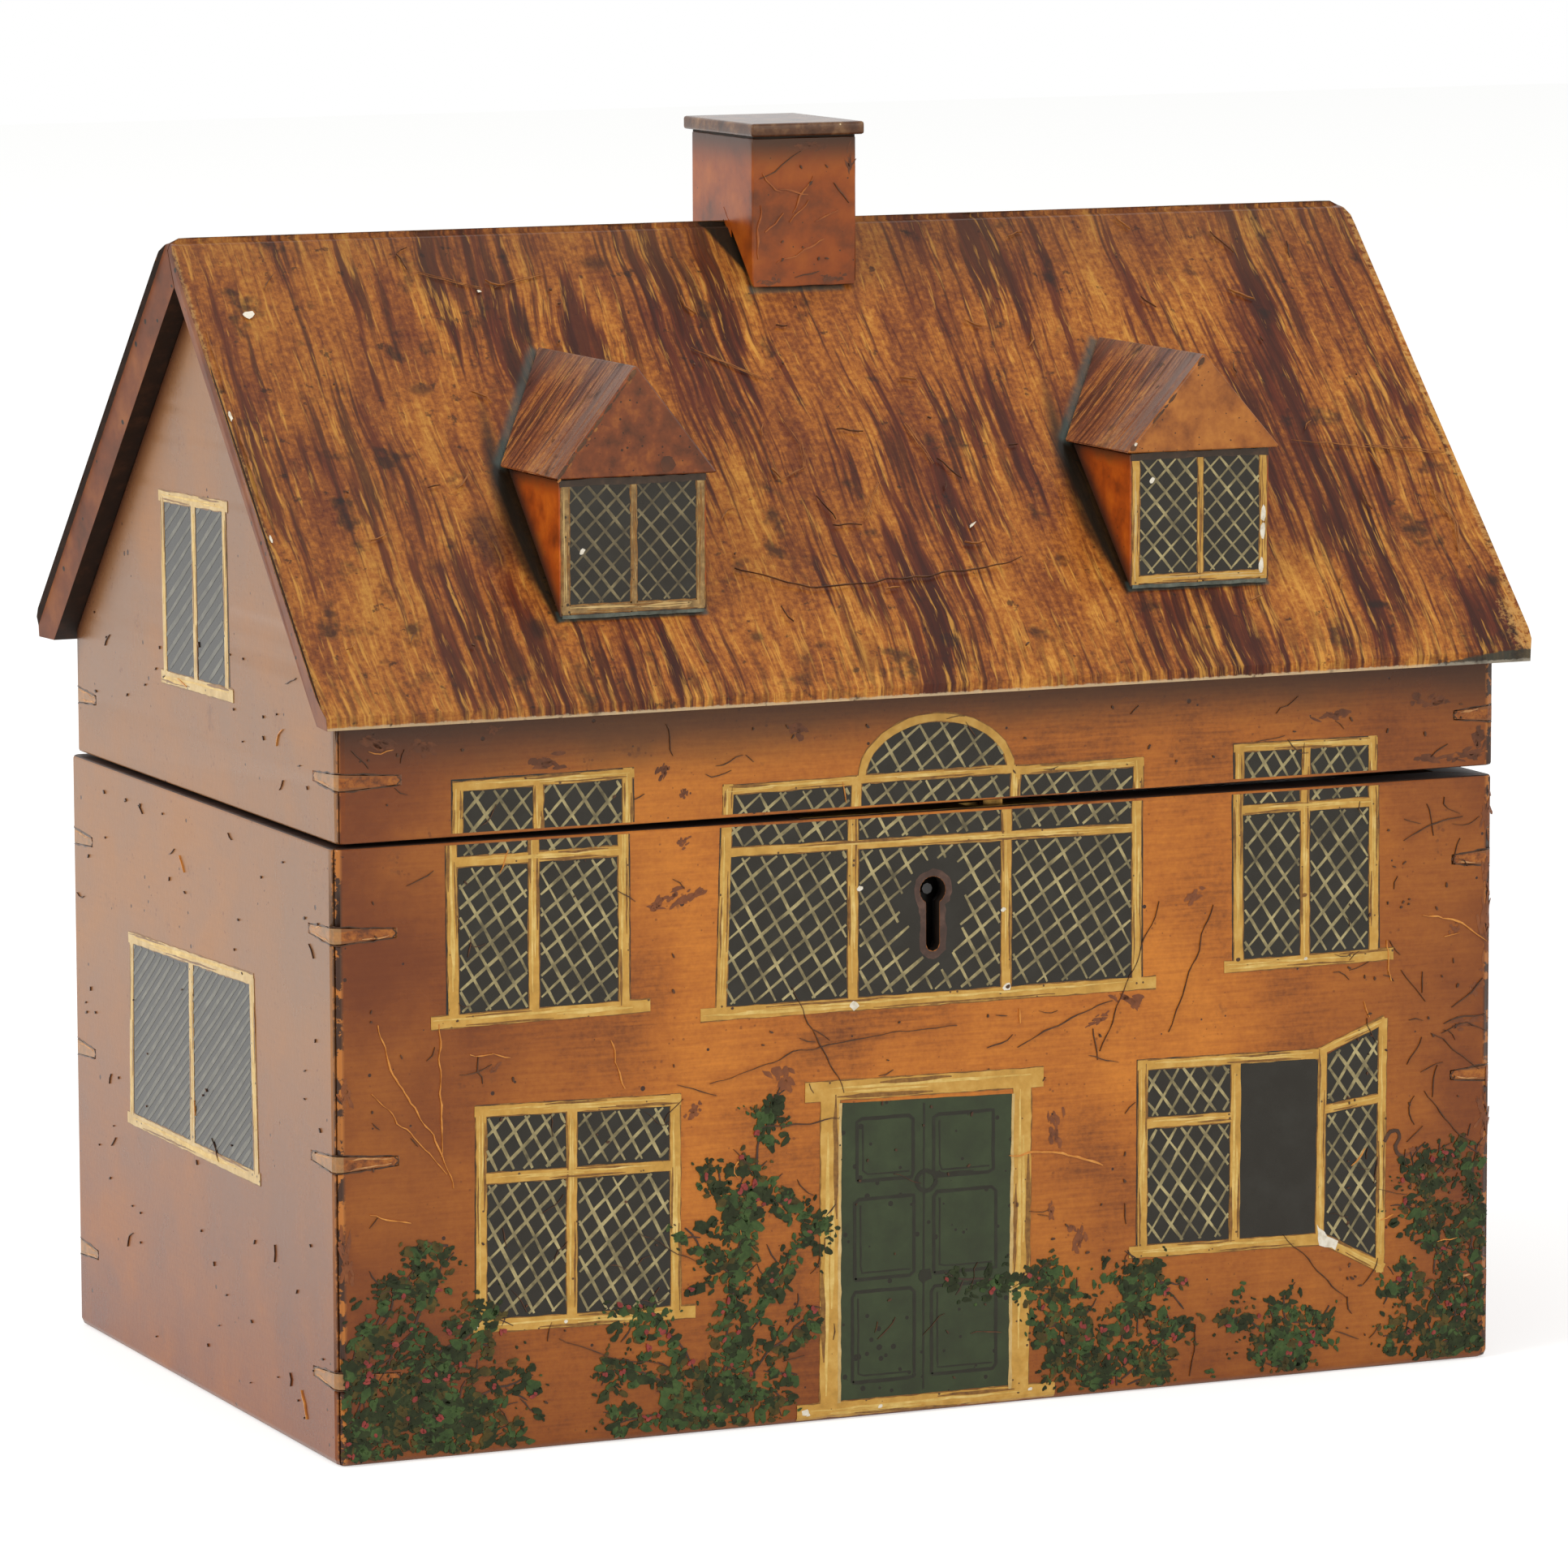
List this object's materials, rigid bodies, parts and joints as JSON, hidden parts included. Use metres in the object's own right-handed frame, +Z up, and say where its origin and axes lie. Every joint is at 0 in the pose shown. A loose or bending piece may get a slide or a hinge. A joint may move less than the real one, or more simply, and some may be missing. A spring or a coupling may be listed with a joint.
{
  "type": "cottage tea caddy",
  "caption": "Painted wooden tea box shaped as a thatched cottage, with a hinged roof lid over foil-lined compartments that have their own lift-out lids.",
  "frame": {"origin": "middle of the underside, on the surface the box stands on", "axes": "+X along the front towards the right-hand gable as seen from the front, +Y from the front to the hinges at the back, +Z up"},
  "size_m": [0.187, 0.1232, 0.1808],
  "materials": {
    "wall_paint": "varnished paint on boards",
    "thatch_paint": "varnished paint on boards",
    "brick_paint": "varnished paint on wood",
    "key_wood": "varnished wood slips",
    "inner_wood": "bare wood",
    "tea_lid_wood": "polished wood",
    "knob_bone": "polished bone",
    "liner_foil": "dull beaten foil",
    "brass": "aged brass",
    "steel": "dark oiled steel"
  },
  "bodies": {
    "base": {"base_front": "wall_paint", "base_back": "wall_paint", "base_left": "wall_paint", "base_right": "wall_paint", "base_bottom": "inner_wood", "base_key_front_left_1": "key_wood", "base_key_front_left_2": "key_wood", "base_key_front_left_3": "key_wood", "base_key_front_right_1": "key_wood", "base_key_front_right_2": "key_wood", "base_key_front_right_3": "key_wood", "base_key_back_left_1": "key_wood", "base_key_back_left_2": "key_wood", "base_key_back_left_3": "key_wood", "base_key_back_right_1": "key_wood", "base_key_back_right_2": "key_wood", "base_key_back_right_3": "key_wood", "lining_front": "inner_wood", "lining_back": "inner_wood", "lining_left": "inner_wood", "lining_right": "inner_wood", "partition": "inner_wood", "foil_liner_left": "liner_foil", "foil_liner_right": "liner_foil", "lock_case": "brass", "lock_spring": "steel", "hinge_base_leaf_left": "brass", "hinge_base_leaf_right": "brass", "hinge_pin_left": "brass", "hinge_pin_right": "brass"},
    "lid": {"lid_front": "wall_paint", "lid_back": "wall_paint", "gable_left": "wall_paint", "gable_right": "wall_paint", "lid_key_front_left": "key_wood", "lid_key_front_right": "key_wood", "lid_key_back_left": "key_wood", "lid_key_back_right": "key_wood", "roof_front": "thatch_paint", "roof_back": "thatch_paint", "chimney_stack": "brick_paint", "chimney_cap": "brick_paint", "dormer_body_left": "brick_paint", "dormer_body_right": "brick_paint", "dormer_roof_left": "thatch_paint", "dormer_roof_right": "thatch_paint", "link_plate": "brass", "hinge_lid_leaf_left": "brass", "hinge_lid_leaf_right": "brass"},
    "tea_lid_left": {"tea_lid_left": "tea_lid_wood", "tea_lid_knob_left": "knob_bone"},
    "tea_lid_right": {"tea_lid_right": "tea_lid_wood", "tea_lid_knob_right": "knob_bone"},
    "bolt": {"lock_bolt": "steel"}
  },
  "joints": [
    {"name": "lid_hinge", "type": "hinge", "parent": "base", "child": "lid", "pos_m": [0, 0.0562, 0.08668], "axis": [-1, 0, 0], "range_deg": [0, 100]},
    {"name": "tea_lid_left_lift", "type": "slide", "parent": "base", "child": "tea_lid_left", "axis": [0, 0, 1], "range_m": [0, 0.022]},
    {"name": "tea_lid_right_lift", "type": "slide", "parent": "base", "child": "tea_lid_right", "axis": [0, 0, 1], "range_m": [0, 0.022]},
    {"name": "lock_bolt_throw", "type": "slide", "parent": "base", "child": "bolt", "axis": [1, 0, 0], "range_m": [0, 0.0026]}
  ]
}
